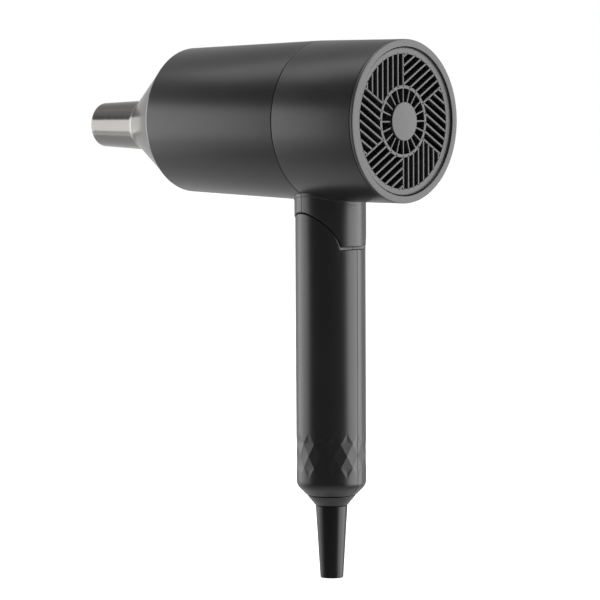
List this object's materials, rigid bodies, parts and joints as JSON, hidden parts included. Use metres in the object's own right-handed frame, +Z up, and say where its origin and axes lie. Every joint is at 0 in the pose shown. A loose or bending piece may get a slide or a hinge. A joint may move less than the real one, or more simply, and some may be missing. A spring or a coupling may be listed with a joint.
{
  "type": "hair dryer",
  "caption": "Folding hair dryer: a tapered barrel with a slotted rear intake, an eccentric metal nozzle that turns and pulls off, and a round grip with switches.",
  "frame": {"origin": "centre of the bottom of the bounding box with the grip unfolded, level with the strain relief's end", "axes": "+Z up along the grip, -X the way the nozzle blows, +X the air intake, +Y the user's right when the nozzle points away"},
  "size_m": [0.1988, 0.078, 0.261],
  "materials": {
    "satin_black": "satin moulded plastic with a very fine grain",
    "grille_black": "satin moulded plastic",
    "gloss_black": "polished moulded plastic",
    "dark_chrome": "polished dark chrome on drawn steel",
    "duct_black": "fine matt moulding, glass-filled",
    "steel": "plain bright steel",
    "mica": "pressed mica sheet, dry and slightly mottled",
    "element": "drawn resistance wire, oxidised",
    "circuit_board": "solder resist, satin",
    "switch_black": "matt moulded plastic",
    "white_plastic": "matt moulded plastic",
    "copper": "enamelled copper winding",
    "filter_steel": "woven wire"
  },
  "bodies": {
    "barrel": {"front_shell": "satin_black", "rear_shell": "satin_black", "fan_duct": "duct_black", "motor_can": "steel", "motor_end_cap": "white_plastic", "motor_magnet_upper": "switch_black", "motor_magnet_lower": "switch_black", "heater_tube": "mica", "heating_coil_rear": "element", "heating_coil_front": "element", "heater_board_level": "mica", "heater_board_upright": "mica", "thermal_cutout": "white_plastic", "thermal_fuse": "steel", "outlet_grille": "duct_black", "hinge_knuckle": "duct_black", "hinge_pin": "steel", "hinge_washer_left": "steel", "hinge_washer_right": "steel"},
    "rear_cap": {"rear_bezel": "grille_black", "intake_grille": "grille_black", "grille_hub_cap": "grille_black", "filter_frame": "duct_black", "filter_mesh": "filter_steel"},
    "fan_rotor": {"fan": "duct_black", "motor_shaft": "steel", "motor_armature": "copper"},
    "nozzle_ring": {"nozzle_collar": "gloss_black"},
    "nozzle": {"concentrator": "dark_chrome"},
    "grip": {"handle_left": "satin_black", "handle_right": "satin_black", "handle_screw_1": "steel", "handle_screw_2": "steel", "handle_screw_3": "steel", "switch_plate": "gloss_black", "switch_board": "circuit_board", "heat_switch_body": "switch_black", "speed_switch_body": "switch_black", "cool_switch_body": "switch_black", "cool_button_spring": "steel", "cord_collar": "satin_black", "strain_relief": "gloss_black", "cord_clamp": "switch_black", "clamp_screw_1": "steel", "clamp_screw_2": "steel"},
    "heat_knob": {"heat_slider": "grille_black"},
    "speed_knob": {"speed_slider": "grille_black"},
    "cool_key": {"cool_button": "grille_black"}
  },
  "joints": [
    {"name": "fold_hinge", "type": "hinge", "parent": "barrel", "child": "grip", "pos_m": [0.04775, 0, 0.1592], "axis": [0, 1, 0], "range_deg": [0, 90]},
    {"name": "nozzle_turn", "type": "hinge", "parent": "barrel", "child": "nozzle_ring", "pos_m": [-0.03465, 0, 0.222], "axis": [1, 0, 0], "continuous": true},
    {"name": "nozzle_pull", "type": "slide", "parent": "nozzle_ring", "child": "nozzle", "axis": [-1, 0, 0], "range_m": [0, 0.03]},
    {"name": "rear_cap_pull", "type": "slide", "parent": "barrel", "child": "rear_cap", "axis": [1, 0, 0], "range_m": [0, 0.03]},
    {"name": "fan_spin", "type": "hinge", "parent": "barrel", "child": "fan_rotor", "pos_m": [0.07935, 0, 0.222], "axis": [1, 0, 0], "continuous": true},
    {"name": "heat_slide", "type": "slide", "parent": "grip", "child": "heat_knob", "axis": [0, 0, 1], "range_m": [0, 0.006]},
    {"name": "speed_slide", "type": "slide", "parent": "grip", "child": "speed_knob", "axis": [0, 0, 1], "range_m": [0, 0.006]},
    {"name": "cool_press", "type": "slide", "parent": "grip", "child": "cool_key", "axis": [1, 0, 0], "range_m": [0, 0.0012], "stiffness_N_per_m": 400, "springref_m": -0.002, "deforming": ["cool_button_spring"]}
  ]
}
